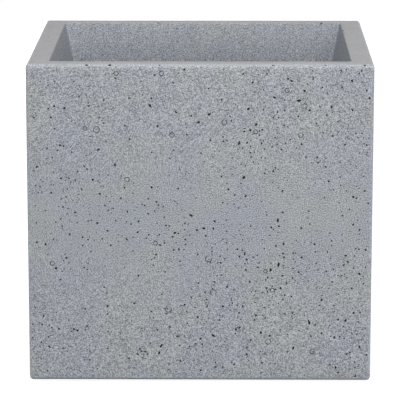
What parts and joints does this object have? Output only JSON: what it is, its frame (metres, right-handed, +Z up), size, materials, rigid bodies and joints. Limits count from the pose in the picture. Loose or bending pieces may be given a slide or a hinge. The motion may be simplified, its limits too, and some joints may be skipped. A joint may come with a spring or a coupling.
{
  "type": "planter box",
  "caption": "Square double-walled planter box with a flat rim, a tapered planting well and a cast-stone face, on rubber foot pads, with a screwed drain under a lift-out strainer.",
  "frame": {"origin": "centre of the footprint, on the ground under the foot pads", "axes": "+Z up, the front wall faces -Y, +X to the right seen from the front"},
  "size_m": [0.39, 0.39, 0.3655],
  "materials": {
    "moulded_stone_look": "matt, cast-stone look, light grey",
    "drain_plastic": "satin black",
    "plug_plastic": "satin charcoal",
    "strainer_plastic": "satin black",
    "drain_rubber": "matt black",
    "pad_rubber": "matt dark grey",
    "foot_steel": "stainless",
    "insert_brass": "plain brass"
  },
  "bodies": {
    "planter": {"planter_body": "moulded_stone_look", "drain_fitting": "drain_plastic", "drain_gasket": "drain_rubber", "drain_washer": "drain_rubber", "drain_nut": "drain_plastic", "vent_plug": "plug_plastic", "foot_washers": "foot_steel", "foot_screws": "foot_steel", "foot_inserts": "insert_brass", "foot_pad_front_left": "pad_rubber", "foot_pad_front_right": "pad_rubber", "foot_pad_rear_left": "pad_rubber", "foot_pad_rear_right": "pad_rubber"},
    "plug_seal": {"drain_plug_seal": "drain_rubber"},
    "plug": {"drain_plug": "plug_plastic"},
    "strainer": {"drain_strainer": "strainer_plastic"}
  },
  "joints": [
    {"name": "plug_travel", "type": "slide", "parent": "planter", "child": "plug_seal", "axis": [0, 0, -1], "range_m": [0, 0.018]},
    {"name": "plug_turn", "type": "hinge", "parent": "plug_seal", "child": "plug", "pos_m": [0, 0, 0.0105], "axis": [0, 0, -1], "range_deg": [0, 2160]},
    {"name": "strainer_lift", "type": "slide", "parent": "planter", "child": "strainer", "axis": [0, 0, 1], "range_m": [0, 0.34]}
  ],
  "couplings": [
    {"joint": "plug_travel", "follows": "plug_turn", "m_per_rad": 0.00047746}
  ]
}
